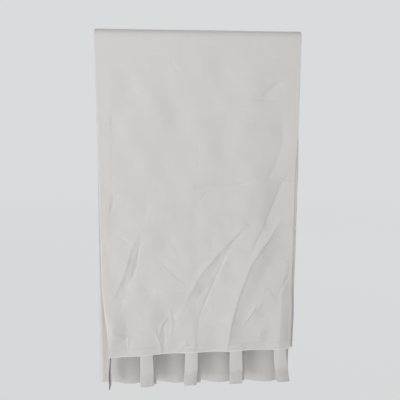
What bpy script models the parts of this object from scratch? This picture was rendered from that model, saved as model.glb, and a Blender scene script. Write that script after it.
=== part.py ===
"""A tab top curtain, folded once down its length and hung over a round rod at its middle.

The curtain is one hemmed cloth, a facing strip sewn behind its header, and nine loops of doubled
cloth caught between the two. Folded in half, it has an outer and an inner layer, joined at a fold
on the left. Its header end hangs in front of the rod with the loops down, and its bottom hem hangs
behind. Metres, +Z up, X across the folded width, the front at -Y, and the origin on the rod's
centre line in the middle of the folded width.
"""

import math

import bpy
import numpy as np

COLLECTION_NAME = "tab_top_curtain"

# The curtain as it is cut and sewn
CURTAIN_WIDTH = 1.400
PANEL_LENGTH = 2.490
CLOTH_THICKNESS = 0.0005
SIDE_HEM_WIDTH = 0.015
BOTTOM_HEM_WIDTH = 0.040
HEM_PLIES = 3
FACING_HEIGHT = 0.030
FACING_INSET = 0.0015
TAB_INSET = 0.0005
TAB_COUNT = 9
TAB_WIDTH = 0.048
TAB_DROP = 0.128
TAB_SEWN_IN = 0.018
TAB_THICKNESS = 0.0010
TAB_LOOP_DEPTH = 0.013
TAB_LEAN = 0.005
TAB_SPREAD_LENGTH = 0.080
SEAM_CLEARANCE = 0.0003

# How it is folded and laid over the rod
ROD_DIAMETER = 0.050
ROD_CLEARANCE = 0.0010
FOLD_OFFSET = 0.005
FRONT_DROP = 1.127
ASKEW_ANGLE = math.radians(0.47)
HEADER_TILT = 0.007
HALF_GAP_AT_ROD = 0.0015
HALF_GAP_AT_HEADER = 0.0070
HALF_GAP_AT_HEM = 0.0060

# The fold is squared open at the header and rounded open at the bottom hem
HEADER_FOLD_HALF_DEPTH = 0.024
HEADER_FOLD_CORNER = 0.007
HEADER_FOLD_PULL = 0.0215
HEADER_FOLD_HEIGHT = 0.260
HEADER_FOLD_REACH = 0.120
HEM_FOLD_HALF_DEPTH = 0.014
HEM_FOLD_HEIGHT = 0.600
HEM_FOLD_REACH = 0.090
PLAIN_UNDER_ROD = 0.110

# Slack waves along the header between the loops, and along the bottom hem
HEADER_WAVE_DEPTH = 0.003
HEADER_WAVE_HEIGHT = 0.200
HEM_WAVE_DEPTH = 0.011
HEM_WAVE_LENGTH = 0.172
HEM_WAVE_HEIGHT = 1.100
HEM_WAVE_CREST = -0.075

# Sideways sway of each loop's end, from the outer layer's free edge to the inner layer's
TAB_SWAYS = (0.015, 0.001, -0.001, 0.000, 0.001, 0.002, 0.003, 0.002, 0.004)

# Soft folds of the front: height to the front, width to the left and right of the crest, and
# the (x, z) of its top, middle and foot
FRONT_FOLDS = {
    "valley_from_right_edge": (-0.0055, 0.038, 0.022, (0.312, -0.470), (0.258, -0.588), (0.186, -0.780)),
    "ridge_to_header": (0.0075, 0.075, 0.036, (0.300, -0.620), (0.204, -0.795), (0.118, -1.106)),
    "valley_to_middle": (-0.0055, 0.048, 0.018, (0.190, -0.625), (0.085, -0.800), (0.010, -0.995)),
    "rise_beside_valley": (0.0025, 0.060, 0.024, (0.170, -0.640), (0.035, -0.800), (-0.062, -0.985)),
    "pleat_near_fold": (-0.0035, 0.030, 0.014, (-0.200, -0.680), (-0.220, -0.800), (-0.292, -0.945)),
    "groove_near_edge": (-0.0030, 0.026, 0.026, (0.283, -0.190), (0.290, -0.330), (0.250, -0.480)),
    "hollow_over_header": (-0.0045, 0.045, 0.030, (-0.020, -0.880), (-0.100, -0.940), (-0.140, -1.060)),
}
FOLD_FADE = 0.110

# Grid cells, at their longest, and how near two grid lines may come
OUTER_CELL = 0.031
INNER_CELL = 0.061
FOLDED_FRONT_TOP = 0.450
FOLDED_CELL = 0.0325
PLAIN_CELL = 0.140
REAR_CELL = 0.160
ROD_CELLS = 8
FOLD_CORNER_CELLS = 3
TIGHT_BEND_LINE = 0.0038
HEM_STEP = 0.003
CLOSEST_LINES = 0.0022
CELL_SLACK = 0.01
LOOP_ARC_POINTS = 5
LOOP_LEG_POINTS = 4
SLOPE_STEP = 0.0001
GRID_SIDE = 2.0

CLOTH_COLOUR = (0.595, 0.570, 0.545)
CLOTH_ROUGHNESS = 0.92

# Worked out from the sizes above
FOLD_LINE = CURTAIN_WIDTH / 2 - FOLD_OFFSET
FOLDED_HALF_WIDTH = CURTAIN_WIDTH / 4
INNER_WRAP_RADIUS = ROD_DIAMETER / 2 + ROD_CLEARANCE
WRAP_RADIUS = INNER_WRAP_RADIUS + HALF_GAP_AT_ROD
QUARTER_WRAP = math.pi / 2 * WRAP_RADIUS
CROWN_LINE = FRONT_DROP + QUARTER_WRAP
REAR_DROP = PANEL_LENGTH - CROWN_LINE - QUARTER_WRAP
FIRST_TAB = SIDE_HEM_WIDTH
TAB_PITCH = (CURTAIN_WIDTH - 2 * FIRST_TAB - TAB_WIDTH) / (TAB_COUNT - 1)
HEM_THICKNESS = HEM_PLIES * CLOTH_THICKNESS
NEAR_LEG_OFFSET = HEM_THICKNESS / 2 + SEAM_CLEARANCE + TAB_THICKNESS / 2
FAR_LEG_OFFSET = NEAR_LEG_OFFSET + TAB_THICKNESS + SEAM_CLEARANCE
FACING_OVER_TABS = FAR_LEG_OFFSET + TAB_THICKNESS / 2 + SEAM_CLEARANCE + CLOTH_THICKNESS / 2
FACING_ON_PANEL = HEM_THICKNESS / 2 + SEAM_CLEARANCE + CLOTH_THICKNESS / 2


def smoothstep(value):
    """0 below 0, 1 above 1, and a soft S between."""
    value = np.clip(value, 0.0, 1.0)
    return value * value * (3.0 - 2.0 * value)


def tab_edges(number):
    """Both edges of a loop, as places across the curtain. The outermost lie along the side hems."""
    first = FIRST_TAB + number * TAB_PITCH
    return first, first + TAB_WIDTH


def fold_opening(along):
    """Half depth and corner radius of the lengthwise fold, and the half gap away from it."""
    front = CROWN_LINE - along
    rear = along - CROWN_LINE
    down_front = np.clip((front - QUARTER_WRAP) / FRONT_DROP, 0.0, 1.0)
    down_rear = np.clip((rear - QUARTER_WRAP) / REAR_DROP, 0.0, 1.0)
    half_gap = HALF_GAP_AT_ROD + (HALF_GAP_AT_HEADER - HALF_GAP_AT_ROD) * down_front
    half_gap = half_gap + (HALF_GAP_AT_HEM - HALF_GAP_AT_ROD) * down_rear
    at_header = smoothstep(1.0 - along / HEADER_FOLD_HEIGHT)
    at_hem = smoothstep(1.0 - (PANEL_LENGTH - along) / HEM_FOLD_HEIGHT)
    half_depth = half_gap + (HEADER_FOLD_HALF_DEPTH - half_gap) * at_header
    half_depth = half_depth + (HEM_FOLD_HALF_DEPTH - half_gap) * at_hem
    corner = half_depth + (HEADER_FOLD_CORNER - half_depth) * at_header
    return half_depth, np.minimum(corner, half_depth), half_gap, at_header


def folded_section(across, along):
    """Distance in from the fold and signed distance from the mid plane, for a place on the cloth.

    The section is a flat end, two round corners and two straight layers, which close up from the
    fold's depth to the plain gap as they leave it. The outer layer is on the positive side.
    """
    from_fold = across - FOLD_LINE
    reach = np.abs(from_fold)
    half_depth, corner, half_gap, at_header = fold_opening(along)
    flat = half_depth - corner
    turn = np.clip((reach - flat) / corner, 0.0, math.pi / 2)
    straight = np.maximum(reach - flat - corner * math.pi / 2, 0.0)
    inward = corner * (1.0 - np.cos(turn)) + straight
    apart = np.minimum(reach, flat) + corner * np.sin(turn)
    close_over = HEM_FOLD_REACH + (HEADER_FOLD_REACH - HEM_FOLD_REACH) * at_header
    closing = np.exp(-((straight / close_over) ** 2))
    apart = np.where(straight > 0.0, half_gap + (half_depth - half_gap) * closing, apart)
    return inward, np.where(from_fold > 0.0, -apart, apart)


def one_fold(x, z, height, left_width, right_width, top, middle, foot):
    """Height of one soft fold: a bell across a parabola through its top, middle and foot."""
    crest = np.zeros_like(z)
    lean = np.zeros_like(z)
    points = (top, middle, foot)
    for number, (point_x, point_z) in enumerate(points):
        (_, first), (_, second) = points[:number] + points[number + 1 :]
        share = (point_z - first) * (point_z - second)
        crest = crest + point_x * (z - first) * (z - second) / share
        lean = lean + point_x * (2.0 * z - first - second) / share
    off = (x - crest) / np.sqrt(1.0 + lean**2)
    width = np.where(off < 0.0, left_width, right_width)
    fade = smoothstep((top[1] - z) / FOLD_FADE) * smoothstep((z - foot[1]) / FOLD_FADE)
    return height * fade * np.exp(-((off / width) ** 2))


def header_wave(across, along):
    """How far the cloth stands forward at the header: a wave with its crests at the loops."""
    from_loop = (across - FIRST_TAB - TAB_WIDTH / 2) / TAB_PITCH
    wave = HEADER_WAVE_DEPTH * np.cos(2.0 * math.pi * from_loop)
    return wave * smoothstep(1.0 - along / HEADER_WAVE_HEIGHT)


def front_relief(x, z):
    """How far the soft folds stand forward of the plain front."""
    return sum(one_fold(x, z, *fold) for fold in FRONT_FOLDS.values())


def rear_wave(x, down):
    """How far the rear stands forward of its plain drop: waves that grow towards the hem."""
    phase = 2.0 * math.pi * (x - HEM_WAVE_CREST) / HEM_WAVE_LENGTH
    return HEM_WAVE_DEPTH * np.cos(phase) * smoothstep(1.0 - (REAR_DROP - down) / HEM_WAVE_HEIGHT)


def drape(across, along):
    """Takes places on the flat cloth to points on the folded, hung cloth's middle surface.

    across runs from the outer layer's free edge to the inner layer's, and along from the header
    to the hem. The cloth hangs straight in front, bends round the rod and hangs straight behind.
    """
    across, along = np.broadcast_arrays(np.asarray(across, float), np.asarray(along, float))
    inward, apart = folded_section(across, along)
    _, _, half_gap, at_header = fold_opening(along)
    level = inward - FOLDED_HALF_WIDTH + HEADER_FOLD_PULL * at_header
    past_crown = along - CROWN_LINE
    x = level * math.cos(ASKEW_ANGLE) - past_crown * math.sin(ASKEW_ANGLE)
    turned = past_crown * math.cos(ASKEW_ANGLE) + level * math.sin(ASKEW_ANGLE)
    angle = np.clip(turned / WRAP_RADIUS, -math.pi / 2, math.pi / 2)
    down = np.maximum(np.abs(turned) - QUARTER_WRAP, 0.0)
    in_front = turned < 0.0
    tilt = HEADER_TILT * level / FOLDED_HALF_WIDTH * down / FRONT_DROP
    down = np.where(in_front, down * (1.0 - tilt / FRONT_DROP), down)
    radius = INNER_WRAP_RADIUS + half_gap + apart
    z = radius * np.cos(angle) - down
    hang = smoothstep(down / PLAIN_UNDER_ROD)
    front = front_relief(x, z) + header_wave(across, along)
    forward = np.where(in_front, front, rear_wave(x, down)) * hang
    return np.stack([x, radius * np.sin(angle) - forward, z], axis=-1)


def behind(across, along, offset):
    """Points at an offset behind the cloth, on its wrong side, square to its surface."""
    sideways = drape(across + SLOPE_STEP, along) - drape(across - SLOPE_STEP, along)
    lengthways = drape(across, along + SLOPE_STEP) - drape(across, along - SLOPE_STEP)
    square = np.cross(sideways, lengthways)
    square = square / np.linalg.norm(square, axis=-1, keepdims=True)
    return drape(across, along) + square * np.asarray(offset)[..., None]


def filled(marks, longest):
    """Marks in order, none closer than the closest lines, with even cells between them."""
    kept = [min(marks)]
    for mark in sorted(marks)[1:]:
        if mark - kept[-1] > CLOSEST_LINES:
            kept.append(mark)
    kept[-1] = max(marks)
    places = [kept[0]]
    for start, stop in zip(kept[:-1], kept[1:]):
        cells = max(1, math.ceil((stop - start) / longest((start + stop) / 2) - CELL_SLACK))
        places.extend(np.linspace(start, stop, cells + 1)[1:])
    return np.array(places)


def fold_columns():
    """Grid lines round the lengthwise fold: its middle, its tight bend and its open corners."""
    flat = HEADER_FOLD_HALF_DEPTH - HEADER_FOLD_CORNER
    steps = np.linspace(0.0, math.pi / 2, FOLD_CORNER_CELLS + 1)
    turns = [flat + HEADER_FOLD_CORNER * angle for angle in steps]
    sides = [TIGHT_BEND_LINE, flat / 2] + turns
    return [FOLD_LINE] + [FOLD_LINE + sign * side for sign in (-1, 1) for side in sides]


def near_any(place, marks):
    """Whether a grid line would come too near one of those already there."""
    return min(abs(mark - place) for mark in marks) < CLOSEST_LINES


def panel_columns():
    """Grid lines across the cloth: hem steps, loop edges, the fold, and even cells between."""
    marks = [0.0, SIDE_HEM_WIDTH, SIDE_HEM_WIDTH + HEM_STEP]
    marks += [CURTAIN_WIDTH - mark for mark in marks]
    marks += [edge for number in range(TAB_COUNT) for edge in tab_edges(number)]
    marks += [bend for bend in fold_columns() if not near_any(bend, marks)]

    def longest(place):
        return OUTER_CELL if place < FOLD_LINE else INNER_CELL

    return filled(marks, longest)


def panel_rows():
    """Grid lines along the cloth: the header, the folded front, the rod, the rear and the hem."""
    hem_top = PANEL_LENGTH - BOTTOM_HEM_WIDTH
    marks = [0.0, FACING_HEIGHT, FRONT_DROP - FOLDED_FRONT_TOP, PANEL_LENGTH]
    marks += [hem_top - HEM_STEP, hem_top]
    marks += list(np.linspace(CROWN_LINE - QUARTER_WRAP, CROWN_LINE + QUARTER_WRAP, ROD_CELLS + 1))

    def longest(place):
        if place < FRONT_DROP - FOLDED_FRONT_TOP:
            return FOLDED_CELL
        return PLAIN_CELL if place < CROWN_LINE else REAR_CELL

    return filled(marks, longest)


def new_collection(name):
    """A collection of that name, in the scene."""
    collection = bpy.data.collections.new(name)
    bpy.context.scene.collection.children.link(collection)
    return collection


def clear_scene():
    """Removes every object from the scene."""
    for obj in list(bpy.data.objects):
        bpy.data.objects.remove(obj, do_unlink=True)


def cloth_material(name):
    """Plain woven cloth, matt and greyish beige."""
    material = bpy.data.materials.new(name)
    material.use_nodes = True
    shader = material.node_tree.nodes["Principled BSDF"]
    shader.inputs["Base Color"].default_value = (*CLOTH_COLOUR, 1.0)
    shader.inputs["Roughness"].default_value = CLOTH_ROUGHNESS
    shader.inputs["Metallic"].default_value = 0.0
    return material


def grid_object(name, points, collection):
    """A grid primitive whose points are moved to an array of places, rows by columns."""
    rows, columns = points.shape[:2]
    bpy.ops.mesh.primitive_grid_add(
        x_subdivisions=columns - 1, y_subdivisions=rows - 1, size=GRID_SIDE
    )
    obj = bpy.context.object
    obj.name = name
    obj.data.name = name
    flat = np.empty(len(obj.data.vertices) * 3)
    obj.data.vertices.foreach_get("co", flat)
    flat = flat.reshape(-1, 3)
    share = flat / GRID_SIDE + 0.5
    column = np.rint(share[:, 0] * (columns - 1)).astype(int)
    row = np.rint(share[:, 1] * (rows - 1)).astype(int)
    obj.data.vertices.foreach_set("co", points[row, column].ravel())
    obj.data.update()
    for other in list(obj.users_collection):
        other.objects.unlink(obj)
    collection.objects.link(obj)
    obj.data.materials.append(cloth_material(name + "_cloth"))
    obj.data.shade_smooth()
    return obj, row, column


def thicken(obj, thickness):
    """Gives an open cloth surface its thickness, half to each side."""
    solid = obj.modifiers.new("thickness", "SOLIDIFY")
    solid.thickness = thickness
    solid.offset = 0.0
    solid.use_even_offset = True
    return solid


def make_panel(collection):
    """The cloth itself, three plies thick along its side hems and bottom hem."""
    columns, rows = panel_columns(), panel_rows()
    points = drape(columns[None, :], rows[:, None])
    panel, row, column = grid_object("curtain_panel", points, collection)
    across, along = columns[column], rows[row]
    at_side = np.minimum(across, CURTAIN_WIDTH - across) < SIDE_HEM_WIDTH + CLOSEST_LINES / 2
    at_foot = along > PANEL_LENGTH - BOTTOM_HEM_WIDTH - CLOSEST_LINES / 2
    hems = panel.vertex_groups.new(name="hems")
    hems.add(np.flatnonzero(at_side | at_foot).tolist(), 1.0, "REPLACE")
    solid = thicken(panel, HEM_THICKNESS)
    solid.vertex_group = hems.name
    solid.thickness_vertex_group = 1.0 / HEM_PLIES
    return panel


def make_facing(collection):
    """The strip sewn behind the header, over the sewn-in ends of the loops."""
    columns = panel_columns()
    columns[0] += FACING_INSET
    columns[-1] -= FACING_INSET
    rows = np.array([FACING_INSET, TAB_SEWN_IN, FACING_HEIGHT])
    on_tab = np.zeros_like(columns)
    for number in range(TAB_COUNT):
        first, last = tab_edges(number)
        on_tab[(columns > first - CLOSEST_LINES) & (columns < last + CLOSEST_LINES)] = 1.0
    offset = FACING_ON_PANEL + (FACING_OVER_TABS - FACING_ON_PANEL) * on_tab
    points = behind(columns[None, :], rows[:, None], offset[None, :])
    facing, _, _ = grid_object("header_facing", points, collection)
    thicken(facing, CLOTH_THICKNESS)
    return facing


def loop_profile():
    """Depth behind the panel and drop below the header along a loop, down one leg and up the other.

    The legs leave the seam side by side, spread to the loop's depth and meet in a half circle.
    """
    radius = TAB_LOOP_DEPTH / 2
    seam = (NEAR_LEG_OFFSET + FAR_LEG_OFFSET) / 2
    half_seam = (FAR_LEG_OFFSET - NEAR_LEG_OFFSET) / 2
    leg = np.linspace(0.0, TAB_DROP - radius, LOOP_LEG_POINTS + 1)
    spread = smoothstep(leg / TAB_SPREAD_LENGTH)
    half = half_seam + (radius - half_seam) * spread
    middle = seam - TAB_LEAN * spread
    turn = np.linspace(0.0, math.pi, LOOP_ARC_POINTS + 2)[1:-1]
    near, far = middle - half, (middle + half)[::-1]
    bottom = seam - TAB_LEAN - radius * np.cos(turn)
    depth = np.concatenate([[NEAR_LEG_OFFSET], near, bottom, far, [FAR_LEG_OFFSET]])
    sunk = -TAB_SEWN_IN
    drop = np.concatenate([[sunk], leg, TAB_DROP - radius + radius * np.sin(turn), leg[::-1], [sunk]])
    return depth, drop


def make_tab(number, collection):
    """One loop: a strip of doubled cloth, both ends sewn in behind the header."""
    first, last = tab_edges(number)
    columns = panel_columns()
    columns = columns[(columns > first - CLOSEST_LINES / 2) & (columns < last + CLOSEST_LINES / 2)]
    depth, drop = loop_profile()
    sewn_in = np.maximum(-drop, 0.0)[:, None]
    points = behind(columns[None, :], sewn_in, depth[:, None])
    hang = np.maximum(drop, 0.0)[:, None]
    points[..., 2] -= hang
    points[..., 0] += TAB_SWAYS[number % len(TAB_SWAYS)] * (hang / TAB_DROP) ** 2
    for end, inner in ((0, 1), (-1, -2)):
        share = TAB_INSET / abs(columns[inner] - columns[end])
        points[:, end] += (points[:, inner] - points[:, end]) * share
    tab, _, _ = grid_object(f"tab_loop_{number + 1}", points, collection)
    thicken(tab, TAB_THICKNESS)
    return tab


def main():
    """Builds the panel, its facing and its loops."""
    clear_scene()
    collection = new_collection(COLLECTION_NAME)
    make_panel(collection)
    make_facing(collection)
    for number in range(TAB_COUNT):
        make_tab(number, collection)


main()
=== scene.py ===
"""Dresses a tab top curtain that is folded once down its length and hung over its middle.

The cloth keeps the drape of its solid and gains what the solid leaves out: pressed and sharp
creases, soft crumples, turned hems, stitching and a plain weave. Metres, +Z up, the front at -Y.
On the flat cloth, across runs from the outer layer's free edge, round the lengthwise fold, to the
inner layer's, and along runs from the header to the bottom hem.
"""

import math

import bpy
import numpy as np
from mathutils import Matrix, Vector


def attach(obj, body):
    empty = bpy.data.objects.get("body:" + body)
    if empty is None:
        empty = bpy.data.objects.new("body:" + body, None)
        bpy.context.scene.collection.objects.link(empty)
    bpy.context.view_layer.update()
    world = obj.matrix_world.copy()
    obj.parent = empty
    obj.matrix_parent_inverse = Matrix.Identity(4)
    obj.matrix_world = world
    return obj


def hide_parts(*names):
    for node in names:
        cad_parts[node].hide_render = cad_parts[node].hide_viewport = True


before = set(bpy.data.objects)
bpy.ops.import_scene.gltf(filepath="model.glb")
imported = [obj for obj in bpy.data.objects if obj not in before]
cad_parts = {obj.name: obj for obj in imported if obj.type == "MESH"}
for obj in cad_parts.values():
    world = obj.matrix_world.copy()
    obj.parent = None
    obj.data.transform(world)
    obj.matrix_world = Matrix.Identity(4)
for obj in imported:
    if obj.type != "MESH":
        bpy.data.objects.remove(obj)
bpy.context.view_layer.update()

# The curtain as it is cut and sewn
CURTAIN_WIDTH = 1.400
PANEL_LENGTH = 2.490
CLOTH_THICKNESS = 0.0005
SIDE_HEM_WIDTH = 0.015
BOTTOM_HEM_WIDTH = 0.040
HEM_PLIES = 3
FACING_HEIGHT = 0.030
FACING_INSET = 0.0015
OVER_LOOP_RUN = 0.0022
TAB_COUNT = 9
TAB_WIDTH = 0.048
TAB_DROP = 0.128
TAB_SEWN_IN = 0.018
TAB_THICKNESS = 0.0010
SEAM_CLEARANCE = 0.0003

# How each loop hangs, from the outer layer's free edge to the inner layer's: sideways sway, turn
# of its lower part in radians, and share of the full drop. Runs and starts are shares of it too
TAB_SWAYS = (0.015, 0.001, -0.005, 0.000, 0.001, 0.002, 0.003, 0.002, 0.004)
LOOP_TWISTS = (0.24, 0.16, 0.24, 0.10, 0.0, 0.06, 0.05, 0.06, 0.04)
LOOP_DROPS = (1.0, 1.0, 0.985, 0.945, 1.0, 1.0, 1.0, 1.0, 1.0)
LOOP_TWIST_START = 0.52
LOOP_TWIST_RUN = 0.10
LOOP_LEVEL = 0.60
TAB_LOOP_DEPTH = 0.013
FOLD_LOOP_DEPTH = 0.004
FOLD_LOOP_FLATNESS = 0.8
FOLD_LOOP_FLAT_RUN = 0.3
TAB_LEAN = 0.005
TAB_SPREAD_LENGTH = 0.080
LOOP_BELLY = 0.0030
LOOP_BELLY_LENGTH = 0.132
LOOP_BOW = 0.0008
LOOP_BOW_LENGTH = 0.021
LOOP_CRUMPLES = 9
LOOP_CALM_RUN = 0.12
LOOP_EDGE_ROUND = 0.0022
LOOP_RIDGE_PLACE = 0.003
LOOP_RIDGE_WIDTH = 0.0016

# How it is folded and hung over
ROD_DIAMETER = 0.050
ROD_CLEARANCE = 0.0010
FOLD_OFFSET = 0.005
FOLD_OFFSET_TOP = 0.300
FOLD_OFFSET_RUN = 0.160
EDGE_CLOSING = 0.60
EDGE_CLOSING_WIDTH = 0.140
EDGE_CLOSING_START = 0.3
FRONT_DROP = 1.127
ASKEW_ANGLE = math.radians(0.47)
HEADER_TILT = 0.007
HALF_GAP_AT_ROD = 0.0015
HALF_GAP_AT_HEADER = 0.0070
HALF_GAP_AT_HEM = 0.0060
HEADER_FOLD_HALF_DEPTH = 0.024
HEADER_FOLD_CORNER = 0.0010
HEADER_FOLD_PULL = 0.0215
HEADER_FOLD_HEIGHT = 0.260
HEADER_FOLD_REACH = 0.120
HEM_FOLD_HALF_DEPTH = 0.014
HEM_FOLD_HEIGHT = 0.600
HEM_FOLD_REACH = 0.090
PLAIN_UNDER_ROD = 0.110
HEADER_WAVE_DEPTH = 0.003
HEADER_WAVE_HEIGHT = 0.200
HEM_WAVE_DEPTH = 0.011
HEM_WAVE_LENGTH = 0.172
HEM_WAVE_HEIGHT = 1.100
HEM_WAVE_CREST = -0.075

# Soft folds of the front: height to the front, width to the left and right of the crest, and
# the (x, z) of its top, middle and foot
FRONT_FOLDS = {
    "ridge_to_header": (0.0020, 0.150, 0.080, (0.300, -0.600), (0.204, -0.795), (0.118, -1.106)),
    "groove_near_edge": (-0.0012, 0.030, 0.030, (0.283, -0.190), (0.290, -0.330), (0.250, -0.480)),
    "hollow_over_header": (-0.0025, 0.050, 0.040, (-0.020, -0.860), (-0.090, -0.950), (-0.130, -1.080)),
}
FOLD_FADE = 0.110

# Worked out from the sizes above
FOLD_LINE = CURTAIN_WIDTH / 2 - FOLD_OFFSET
FIRST_TAB = SIDE_HEM_WIDTH
FOLDED_HALF_WIDTH = CURTAIN_WIDTH / 4
INNER_WRAP_RADIUS = ROD_DIAMETER / 2 + ROD_CLEARANCE
WRAP_RADIUS = INNER_WRAP_RADIUS + HALF_GAP_AT_ROD
QUARTER_WRAP = math.pi / 2 * WRAP_RADIUS
CROWN_LINE = FRONT_DROP + QUARTER_WRAP
FRONT_TOP_LINE = CROWN_LINE - QUARTER_WRAP
REAR_TOP_LINE = CROWN_LINE + QUARTER_WRAP
REAR_DROP = PANEL_LENGTH - CROWN_LINE - QUARTER_WRAP
TAB_PITCH = (CURTAIN_WIDTH - 2 * FIRST_TAB - TAB_WIDTH) / (TAB_COUNT - 1)
HEM_THICKNESS = HEM_PLIES * CLOTH_THICKNESS
NEAR_LEG_OFFSET = HEM_THICKNESS / 2 + SEAM_CLEARANCE + TAB_THICKNESS / 2
FAR_LEG_OFFSET = NEAR_LEG_OFFSET + TAB_THICKNESS + SEAM_CLEARANCE
FACING_OVER_TABS = FAR_LEG_OFFSET + TAB_THICKNESS / 2 + SEAM_CLEARANCE + CLOTH_THICKNESS / 2
FACING_ON_PANEL = HEM_THICKNESS / 2 + SEAM_CLEARANCE + CLOTH_THICKNESS / 2

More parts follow.
